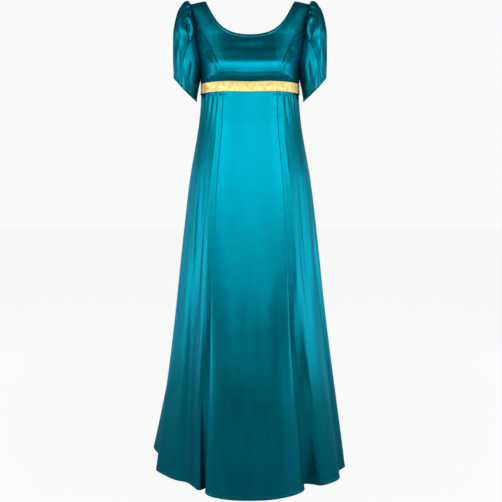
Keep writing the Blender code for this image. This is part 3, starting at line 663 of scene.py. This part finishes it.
# The long soft folds between the main ones: the seat and depth below the shoulder line where each begins
# and ends, its half width in degrees and its height, which is below nothing for a trough. A fold wanders off
# its line by a share of its half width, and fades in and out over these shares of its length.
Drape = namedtuple("Drape", "seat drop to_seat to_drop half_angle height")
DRAPE_WANDER, DRAPE_WAVES = 0.25, 5
DRAPE_FADES_IN, DRAPE_FADES_OUT = (0, 0.4), (0.6, 1)
FOLD_STEEPNESS = 1.6
SKIRT_DRAPES = (
    Drape(-30, 0.80, -30, 1.70, 1.7, -0.0044),
    Drape(30, 0.76, 30, 1.70, 1.6, -0.0044),
    Drape(-19, 0.62, -16, 1.34, 6.0, 0.0016),
    Drape(-7, 0.80, -8, 1.50, 6.5, -0.0020),
    Drape(4, 0.52, 5, 1.16, 7.5, 0.0012),
    Drape(14, 0.86, 16, 1.50, 6.0, -0.0022),
    Drape(23, 0.80, 22, 1.44, 4.5, -0.0014),
    Drape(0, 1.05, 0, 1.50, 5.5, 0.0022),
    Drape(-38, 0.90, -39, 1.75, 3.0, 0.0040),
    Drape(-51, 0.80, -52, 1.75, 5.0, -0.0048),
    Drape(-68, 0.95, -69, 1.75, 3.6, 0.0036),
    Drape(41, 0.90, 42, 1.75, 3.2, 0.0036),
    Drape(60, 0.78, 61, 1.75, 5.0, -0.0048),
    Drape(71, 0.85, 72, 1.75, 3.6, 0.0036),
    Drape(-35, 0.34, -34, 0.92, 3.0, 0.0034),
    Drape(-44, 0.38, -43, 1.10, 3.6, -0.0034),
    Drape(-53, 0.45, -54, 0.90, 3.8, 0.0030),
    Drape(-66, 0.42, -65, 1.10, 4.0, -0.0026),
    Drape(-75, 0.60, -74, 1.40, 4.2, 0.0026),
    Drape(-85, 0.40, -84, 1.05, 4.0, -0.0024),
    Drape(36, 0.35, 37, 0.95, 3.0, 0.0034),
    Drape(46, 0.45, 47, 1.05, 3.4, -0.0030),
    Drape(57, 0.40, 57, 0.88, 3.6, 0.0030),
    Drape(65, 0.60, 65, 1.30, 3.4, -0.0026),
    Drape(73, 0.44, 72, 1.10, 4.0, 0.0024),
    Drape(82, 0.70, 81, 1.42, 4.0, -0.0026),
    Drape(-97, 0.44, -98, 1.20, 4.4, 0.0030),
    Drape(-110, 0.50, -109, 1.30, 4.6, -0.0034),
    Drape(-121, 0.40, -122, 1.00, 4.2, 0.0030),
    Drape(-134, 0.60, -135, 1.40, 4.6, 0.0032),
    Drape(-147, 0.42, -148, 1.12, 4.4, -0.0032),
    Drape(-160, 0.50, -161, 1.30, 4.6, 0.0030),
    Drape(-173, 0.46, -172, 1.20, 3.8, -0.0026),
    Drape(98, 0.50, 99, 1.25, 4.4, -0.0032),
    Drape(110, 0.40, 111, 1.10, 4.4, 0.0032),
    Drape(123, 0.54, 122, 1.34, 4.6, -0.0030),
    Drape(135, 0.42, 136, 1.06, 4.2, 0.0030),
    Drape(149, 0.60, 148, 1.40, 4.6, -0.0034),
    Drape(161, 0.44, 162, 1.18, 4.2, 0.0030),
    Drape(172, 0.56, 173, 1.36, 3.8, 0.0024),
)
FRONT_SEAM_SEAT = 30
FRONT_GORE_SEAM, SIDE_GORE_SEAM = (0.0028, 0.0023), (0.0028, 0.0085)
PAST_THE_SEAM = 0.15
INSIDE_SKIRT = (0, 0.04, -0.85)
SKIRT_LENGTH = GOWN_LENGTH - WAIST_DROP
SKIRT_ROWS = 190
GORE_CLOSENESS = 0.7


def skirt_point(angle, fall):
    """A point of the skirt without its small gathers. The fall is 0 at the waist and 1 at the hem."""
    drop = WAIST_DROP + fall * SKIRT_LENGTH
    x, y = ring_point(angle, *smooth(SKIRT_SECTIONS, drop))
    hem_x, hem_y = ring_point(angle, *SKIRT_SECTIONS[-1][1:])
    left, ahead, begins = smooth(HEM_FOLDS, angle)
    grown = ease(fall, begins, 2 - begins) * 2
    x = x + (left - hem_x) * grown
    y = y + (-ahead - hem_y) * grown
    return np.stack([x, y, -drop - waist_dip(x, y, drop)], axis=-1)


def draped(angle, drop):
    """How far the gathers and the soft folds raise the skirt here."""
    raised = 0
    for gather in WAIST_GATHERS:
        down = ease(drop, GATHER_STARTS, GATHER_STARTS + gather.fade)
        aside = (angle - gather.seat - gather.leans * down) / gather.half_angle
        begun = ease(drop, GATHER_BEGUN, GATHER_FULL)
        left = 1 - ease(drop, GATHER_FULL, GATHER_FULL + gather.fade)
        raised = raised - gather.depth * bell(aside, FOLD_STEEPNESS) * begun * left
    for drape in SKIRT_DRAPES:
        along = (drop - drape.drop) / (drape.to_drop - drape.drop)
        aside = (angle - drape.seat - (drape.to_seat - drape.seat) * along) / drape.half_angle
        aside = aside - DRAPE_WANDER * np.sin(DRAPE_WAVES * along + drape.seat)
        fades = ease(along, *DRAPE_FADES_IN) * (1 - ease(along, *DRAPE_FADES_OUT))
        raised = raised + drape.height * bell(aside, FOLD_STEEPNESS) * fades
    return raised


# Each gore's seats on the waist, its number of columns, how it was cut and the area of the cut.
Gore = namedtuple("Gore", "first last columns flat area held")
SKIRT_GORES = {
    "skirt_front": Gore(-FRONT_SEAM_SEAT, FRONT_SEAM_SEAT, 130, (0.46, 1.20), 0.316, "hung"),
    "skirt_side_front_left": Gore(FRONT_SEAM_SEAT, 90, 120, (0.41, 1.21), 0.300, "gathered"),
    "skirt_side_front_right": Gore(-90, -FRONT_SEAM_SEAT, 120, (0.45, 1.21), 0.308, "gathered"),
    "skirt_back_left": Gore(90, 180, 150, (0.60, 1.24), 0.452, "gathered"),
    "skirt_back_right": Gore(-180, -90, 150, (0.64, 1.24), 0.466, "gathered"),
}
falls = fine_at_ends(SKIRT_ROWS)
for node, gore in SKIRT_GORES.items():
    seats = gore.first + (gore.last - gore.first) * fine_at_ends(gore.columns, GORE_CLOSENESS)
    angle, fall = np.meshgrid(seats, falls)
    points = skirt_point(angle, fall)
    next_seats = [seats[0] - PAST_THE_SEAM, *seats, seats[-1] + PAST_THE_SEAM]
    normals, _ = normals_of(skirt_point(*np.meshgrid(next_seats, falls)), INSIDE_SKIRT)
    raised = draped(angle, WAIST_DROP + fall * SKIRT_LENGTH)
    seam = FRONT_GORE_SEAM if node == "skirt_front" else SIDE_GORE_SEAM
    points = finished(points, normals[:, 1:-1], raised, low=0, high=1, first=0, last=0, seam=seam)
    piece = cloth_piece(f"satin_{node}", points, INSIDE_SKIRT, teal_satin, satin_wrong_side)
    sew_on(piece, node)


# The ribbon is a woven gold one, sewn flat round the high waist over the seam between bodice and skirt.
# Its ground is mottled with a leafy self pattern, and both of its edges are woven plain.

RIBBON_THICKNESS = 0.0012
RIBBON_STANDOFF = 0.0024
RIBBON_COLUMNS, RIBBON_ROWS = 420, 15
WOVEN_EDGE, WOVEN_EDGE_AT, WOVEN_EDGE_HALF_WIDTH = 0.0004, 0.455, 0.025
RIPPLE, RIPPLE_WAVES, RIPPLE_SWELLS = 0.0004, 9, 4
INSIDE_RIBBON = (0, 0, -WAIST_DROP)
gold_light, gold_deep = (0.92, 0.75, 0.29), (0.74, 0.45, 0.10)
GOLD_THREAD_RELIEF, LEAF_RELIEF = (0.35, 0.0003), (0.5, 0.0005)


def ribbon_satin():
    """Gold threads: a diagonal weave with a mottled leafy ground between two plain woven edges."""
    material, nodes, links, shader, place = cloth_material("gold_ribbon")
    shader.inputs["Metallic"].default_value = 0.15
    shader.inputs["Roughness"].default_value = 0.42
    leaves = texture(nodes, links, "ShaderNodeTexVoronoi", place, Scale=105, Randomness=0.9)
    leaves.feature = "SMOOTH_F1"
    mottle = texture(nodes, links, "ShaderNodeTexNoise", place, Scale=60, Detail=4)
    ground = nodes.new("ShaderNodeMath")
    ground.operation = "MULTIPLY"
    links.new(leaves.outputs["Distance"], ground.inputs[0])
    links.new(mottle.outputs["Fac"], ground.inputs[1])
    colours = shaded(nodes, links, ground.outputs["Value"], (0.10, gold_light), (0.38, gold_deep))
    links.new(colours, shader.inputs["Base Color"])
    threads = texture(nodes, links, "ShaderNodeTexWave", place, Scale=320)
    threads.bands_direction = "DIAGONAL"
    weave = relief(nodes, links, threads.outputs["Fac"], *GOLD_THREAD_RELIEF)
    raised = relief(nodes, links, ground.outputs["Value"], *LEAF_RELIEF)
    links.new(weave.outputs["Normal"], raised.inputs["Normal"])
    links.new(raised.outputs["Normal"], shader.inputs["Normal"])
    return material


gold_ribbon = ribbon_satin()
turns = np.linspace(-180, 180, RIBBON_COLUMNS, endpoint=False)
angle, share = np.meshgrid(turns, 0.5 - fine_at_ends(RIBBON_ROWS, closeness=0.5))
below = share * RIBBON_WIDTH
on_skirt = skirt_point(angle, np.maximum(below, 0) / SKIRT_LENGTH)
on_bodice = bodice_point(angle, rise_of(WAIST_DROP + np.minimum(below, 0)))
points = np.where(below[..., None] > 0, on_skirt, on_bodice)
normals, _ = normals_of(points, INSIDE_RIBBON, closed=True)
outward = normals * (1, 1, 0)
outward /= np.linalg.norm(outward, axis=2, keepdims=True)
woven_edge = WOVEN_EDGE * bell((np.abs(share) - WOVEN_EDGE_AT) / WOVEN_EDGE_HALF_WIDTH)
swell = np.sin(np.radians(angle) * RIPPLE_SWELLS + 1)
ripple = RIPPLE * np.sin(np.radians(angle) * RIPPLE_WAVES + 2 * share) * swell
points = points + outward * (RIBBON_STANDOFF + woven_edge + ripple)[..., None]
ribbon = cloth_piece(
    "gold_waist_ribbon", points, INSIDE_RIBBON, gold_ribbon, gold_ribbon, RIBBON_THICKNESS, closed=True
)
sew_on(ribbon, "waist_ribbon")


# Each sleeve is two petals of satin. The over one is gathered over the shoulder and its front edge, turned
# narrowly, draws back across the under one, which hangs ahead and under the arm.

SLEEVE_HEM_OUT = 0.1965
SLEEVE_HEM_HALF_WIDTH = 0.0325
SLEEVE_HEM_HALF_DEPTH = 0.060
SLEEVE_HEM_DROP = 0.268
SLEEVE_HEM_TILT = 0.033
SLEEVE_STARTS = -0.0015
HEM_ROUNDS_UP, HEM_ROUNDS_FAST = 0.0090, 8
HEM_INNER_SQUARE = 0.58

# How a line down the sleeve leaves the armhole, and how it comes in to the hem from above: a share that is
# the same all round, one that is added on top and taken off under the arm, and how far ahead on the front.
Steer = namedtuple("Steer", "out out_on_top up up_on_top ahead")
LEAVES_ARMHOLE = Steer(0.0200, 0.0180, -0.0065, 0.0235, 0.026)
COMES_TO_HEM = Steer(0.0030, 0.0040, 0.1075, 0.0775, 0.022)
OVER_PETAL_EDGE = ((0.00, 95), (0.30, 94), (0.60, 88), (0.85, 77), (1.00, 60))
UNDER_PETAL_HIDDEN_EDGE = 34
OVERLAP_AT_ARMHOLE = 0.0021
OVERLAP = 0.0032
OVERLAP_OPENS = 0.20
OVERLAP_FULL = 28
PETAL_BULGE = 0.016
BULGE_STARTS = 5
BULGE_FULL = 0.24
BULGE_LEAN = 2.2
BULGE_SLANT, BULGE_DRAWS_IN, BULGE_GONE = 0.20, 0.66, 1.06
CAP_GATHER_DEPTH = 0.0078
CAP_GATHER_PITCH = 16
CAP_GATHER_REACH = 72
CAP_GATHER_FULL = 0.09
CAP_GATHER_FADES = 0.36
CAP_GATHER_DRIFT, CAP_GATHER_DRIFT_WAVES = 0.9, 0.11
CAP_GATHER_UNEVEN, CAP_GATHER_UNEVEN_WAVES = 0.22, 0.37
PETAL_ROWS, PETAL_ROW_CLOSENESS = 80, 0.6
OVER_PETAL_COLUMNS, UNDER_PETAL_COLUMNS, PETAL_COLUMN_CLOSENESS = 200, 110, 0.5

# Soft folds of the petals: the meridian and the share of the length where each begins and ends, its half
# width in degrees and its height. A fold fades in and out over these shares of its own length.
PetalFold = namedtuple("PetalFold", "meridian along to_meridian to_along half_angle height")
PETAL_FOLD_FADES_IN, PETAL_FOLD_FADES_OUT = (0, 0.35), (0.6, 1)
OVER_PETAL_FOLDS = (
    PetalFold(68, 0.19, 82, 0.41, 12, -0.0120),
    PetalFold(52, 0.10, 62, 0.26, 7, -0.0040),
    PetalFold(84, 0.42, 40, 0.92, 20, -0.0060),
    PetalFold(8, 0.18, 16, 0.36, 9, -0.0030),
    PetalFold(44, 0.46, 36, 1.10, 18, 0.0020),
    PetalFold(-20, 0.24, -14, 0.80, 13, -0.0026),
    PetalFold(-52, 0.20, -48, 0.85, 13, 0.0026),
    PetalFold(-96, 0.20, -90, 0.90, 13, -0.0026),
    PetalFold(-130, 0.25, -128, 0.95, 13, 0.0026),
)
UNDER_PETAL_FOLDS = (
    PetalFold(112, 0.50, 116, 2.00, 55, 0.0080),
    PetalFold(88, 0.40, 80, 1.30, 9, -0.0016),
    PetalFold(104, 0.30, 98, 1.30, 9, 0.0018),
    PetalFold(120, 0.34, 114, 1.20, 8, -0.0014),
    PetalFold(140, 0.35, 132, 1.20, 9, 0.0014),
)


def steered(point, steer, across, forward):
    out = steer.out + steer.out_on_top * across
    up = steer.up + steer.up_on_top * across
    return point + np.stack([out, -steer.ahead * forward, up], axis=-1)


def sleeve_point(meridian, along):
    """A point of the left sleeve: the meridian is 0 on top and 90 ahead, the length 0 at the armhole."""
    around = (meridian + 180) % 360 - 180
    across, ahead = np.cos(np.radians(meridian)), np.sin(np.radians(meridian))
    seats = np.where(around[..., None] > 0, armhole_seats(abs(around), -1), armhole_seats(abs(around), 1))
    start = bodice_point(seats[..., 0], seats[..., 1]) + (SLEEVE_STARTS, 0, 0)
    out = SLEEVE_HEM_OUT + SLEEVE_HEM_HALF_WIDTH * across
    forward = np.sign(ahead) * abs(ahead) ** np.where(across < 0, HEM_INNER_SQUARE, 1)
    up = SLEEVE_HEM_TILT * across + HEM_ROUNDS_UP * np.maximum(across, 0) ** HEM_ROUNDS_FAST
    end = np.stack([out, -SLEEVE_HEM_HALF_DEPTH * forward, up - SLEEVE_HEM_DROP], axis=-1)
    leaves = steered(start, LEAVES_ARMHOLE, across, forward)
    arrives = steered(end, COMES_TO_HEM, across, forward)
    return curve(start, leaves, arrives, end, along[..., None])


def petal_normals(meridian, along):
    across = sleeve_point(meridian + 1, along) - sleeve_point(meridian - 1, along)
    above, below = np.maximum(along - 0.01, 0), np.minimum(along + 0.01, 1)
    normals = np.cross(across, sleeve_point(meridian, below) - sleeve_point(meridian, above))
    return normals / np.linalg.norm(normals, axis=2, keepdims=True)


def folded(meridian, along, folds):
    """How far the soft folds raise a petal here."""
    raised = 0
    for fold in folds:
        t = (along - fold.along) / (fold.to_along - fold.along)
        aside = (meridian - fold.meridian - (fold.to_meridian - fold.meridian) * t) / fold.half_angle
        fades = ease(t, *PETAL_FOLD_FADES_IN) * (1 - ease(t, *PETAL_FOLD_FADES_OUT))
        raised = raised + fold.height * bell(aside, FOLD_STEEPNESS) * fades
    return raised


def over_petal_lift(column, along):
    """Clear of the under petal, fuller near the front edge, and gathered over the cap."""
    overlap = OVERLAP_AT_ARMHOLE + (OVERLAP - OVERLAP_AT_ARMHOLE) * ease(along, 0, OVERLAP_OPENS)
    lift = overlap * ease(column, 0, OVERLAP_FULL)
    across = np.clip((column - BULGE_STARTS) / (OVER_PETAL_EDGE[0][1] - BULGE_STARTS), 0, 1)
    full = ease(along, 0, BULGE_FULL) * (1 - ease(along + BULGE_SLANT * across, BULGE_DRAWS_IN, BULGE_GONE))
    lift = lift + PETAL_BULGE * np.sin(pi * across**BULGE_LEAN) * full
    begun = ease(along, 0, CAP_GATHER_FULL)
    left = 1 - ease(along, CAP_GATHER_FULL, CAP_GATHER_FADES)
    reach = 1 - ease(abs(column), CAP_GATHER_REACH - CAP_GATHER_PITCH, CAP_GATHER_REACH)
    drift = CAP_GATHER_DRIFT * np.sin(column * CAP_GATHER_DRIFT_WAVES)
    ridge = (1 + np.cos(2 * pi * column / CAP_GATHER_PITCH + drift)) / 2
    ridge = ridge * (1 - CAP_GATHER_UNEVEN * (1 - np.sin(column * CAP_GATHER_UNEVEN_WAVES)))
    return lift + CAP_GATHER_DEPTH * ridge * begun * left * reach


INSIDE_LEFT_SLEEVE = (0.19, 0, -0.13)
INSIDE_RIGHT_SLEEVE = (-0.19, 0, -0.13)
down_the_sleeve = fine_at_ends(PETAL_ROWS, PETAL_ROW_CLOSENESS)
across_shares = fine_at_ends(OVER_PETAL_COLUMNS, PETAL_COLUMN_CLOSENESS)
over_columns = -180 + (OVER_PETAL_EDGE[0][1] + 180) * across_shares
column, along = np.meshgrid(over_columns, down_the_sleeve)
draws_back = smooth(OVER_PETAL_EDGE, along)[0] / OVER_PETAL_EDGE[0][1]
meridian = np.where(column > 0, column * draws_back, column)
lift = over_petal_lift(column, along) + folded(column, along, OVER_PETAL_FOLDS)
over_petal = sleeve_point(meridian, along) + petal_normals(meridian, along) * lift[..., None]
normals, _ = normals_of(over_petal, INSIDE_LEFT_SLEEVE)
over_petal = finished(over_petal, normals, 0, low=0, high=1, first=0, last=1)

across_shares = fine_at_ends(UNDER_PETAL_COLUMNS, PETAL_COLUMN_CLOSENESS)
under_columns = UNDER_PETAL_HIDDEN_EDGE + (180 - UNDER_PETAL_HIDDEN_EDGE) * across_shares
column, along = np.meshgrid(under_columns, down_the_sleeve)
lift = folded(column, along, UNDER_PETAL_FOLDS)
under_petal = sleeve_point(column, along) + petal_normals(column, along) * lift[..., None]
normals, _ = normals_of(under_petal, INSIDE_LEFT_SLEEVE)
under_petal = finished(under_petal, normals, 0, low=0, high=1, first=1, last=0)

for side, inside in (("left", INSIDE_LEFT_SLEEVE), ("right", INSIDE_RIGHT_SLEEVE)):
    for petal, points, flat, area in (
        ("over", over_petal, (0.46, 0.26), 0.062),
        ("under", under_petal, (0.26, 0.25), 0.026),
    ):
        if side == "right":
            points = mirrored(points)
        piece = cloth_piece(f"satin_{petal}_petal_{side}", points, inside, teal_satin, satin_wrong_side)
        sew_on(piece, f"sleeve_{petal}_petal_{side}")


# The floor is a wide matt sheet just under the hem. It and the air round the gown look almost evenly pale,
# as in a studio with a bright sweep, and throw only a little light back on the cloth.

FLOOR_DROP = GOWN_LENGTH + 0.003
FLOOR_HALF_WIDTH = 30
FLOOR_PALENESS = (0.60, 0.60, 0.60, 1)
FLOOR_GLOW, FLOOR_GLOW_SHARE = 1.02, 0.90
WHITE = (1, 1, 1, 1)
ROOM_LIGHT, BACKDROP = 0.145, 0.95


def looks_different(nodes, links, to_the_cloth, to_the_camera, output):
    """Give a thing one look for the light it throws on the cloth and another for the camera."""
    path = nodes.new("ShaderNodeLightPath")
    either = nodes.new("ShaderNodeMixShader")
    links.new(path.outputs["Is Camera Ray"], either.inputs["Fac"])
    links.new(to_the_cloth, either.inputs[1])
    links.new(to_the_camera, either.inputs[2])
    links.new(either.outputs["Shader"], nodes[output].inputs["Surface"])


mesh = bpy.data.meshes.new("floor")
half = FLOOR_HALF_WIDTH
corners = [(x, y, -FLOOR_DROP) for x, y in ((-half, -half), (half, -half), (half, half), (-half, half))]
mesh.from_pydata(corners, [], [(0, 1, 2, 3)])
floor = bpy.data.objects.new("floor", mesh)
bpy.context.collection.objects.link(floor)
pale = bpy.data.materials.new("pale_floor")
pale.use_nodes = True
nodes, links = pale.node_tree.nodes, pale.node_tree.links
matt = nodes["Principled BSDF"]
matt.inputs["Base Color"].default_value = FLOOR_PALENESS
matt.inputs["Roughness"].default_value = 0.9
glow = nodes.new("ShaderNodeEmission")
glow.inputs["Strength"].default_value = FLOOR_GLOW
lit = nodes.new("ShaderNodeMixShader")
lit.inputs["Fac"].default_value = FLOOR_GLOW_SHARE
links.new(matt.outputs["BSDF"], lit.inputs[1])
links.new(glow.outputs["Emission"], lit.inputs[2])
looks_different(nodes, links, matt.outputs["BSDF"], lit.outputs["Shader"], "Material Output")
mesh.materials.append(pale)

world = bpy.data.worlds.new("studio")
world.use_nodes = True
nodes, links = world.node_tree.nodes, world.node_tree.links
dim = nodes["Background"]
dim.inputs["Color"].default_value = WHITE
dim.inputs["Strength"].default_value = ROOM_LIGHT
backdrop = nodes.new("ShaderNodeBackground")
backdrop.inputs["Color"].default_value = WHITE
backdrop.inputs["Strength"].default_value = BACKDROP
looks_different(nodes, links, dim.outputs["Background"], backdrop.outputs["Background"], "World Output")
bpy.context.scene.world = world


# The studio's light is all soft: a wide box ahead of the gown and above the camera with one at each of its
# ends, a pale board low in front, and boxes high on both sides, beside the skirt and behind it.


def soft_box(name, at, towards, width, height, spread, power):
    light = bpy.data.lights.new(name, "AREA")
    light.shape = "RECTANGLE"
    light.size, light.size_y = width, height
    light.spread = radians(spread)
    light.energy = power
    lamp = bpy.data.objects.new(name, light)
    lamp.location = at
    lamp.rotation_euler = (Vector(towards) - Vector(at)).to_track_quat("-Z", "Y").to_euler()
    lamp.visible_camera = False
    bpy.context.collection.objects.link(lamp)


soft_box("front_soft_box", (0, -2.6, 0.52), (0, 0, -0.12), 3.0, 0.8, 110, 17)
soft_box("floor_board", (0, -1.7, -1.38), (0, -1.7, 0), 2.6, 1.6, 180, 13)
for side in (-1, 1):
    soft_box("corner_soft_box", (side * 2.15, -1.95, 0.52), (0, 0, -0.12), 1.8, 0.8, 110, 12)
    soft_box("high_soft_box", (side * 2.0, -0.6, 1.35), (side * 0.19, 0, -0.12), 1.4, 1.2, 180, 4)
    soft_box("side_soft_box", (side * 2.5, 0, -0.55), (0, 0, -0.55), 1.4, 1.2, 180, 22)
    soft_box("back_soft_box", (side * 1.9, 1.9, -0.75), (0, 0, -0.75), 1.6, 1.5, 180, 12)


# The camera stands three metres ahead, a little above the middle of the gown, and looks very slightly down,
# so that the gown just fills the height of the picture.

CAMERA_AT = (0.003, -3.0, -0.609)
CAMERA_TILT = 2.86
LENS = 69.9
SENSOR = 36
camera = bpy.data.objects.new("camera", bpy.data.cameras.new("camera"))
camera.data.sensor_width = SENSOR
camera.data.lens = LENS
camera.location = CAMERA_AT
camera.rotation_euler = (radians(90 - CAMERA_TILT), 0, 0)
bpy.context.collection.objects.link(camera)
bpy.context.scene.camera = camera
bpy.context.scene.view_settings.view_transform = "Standard"
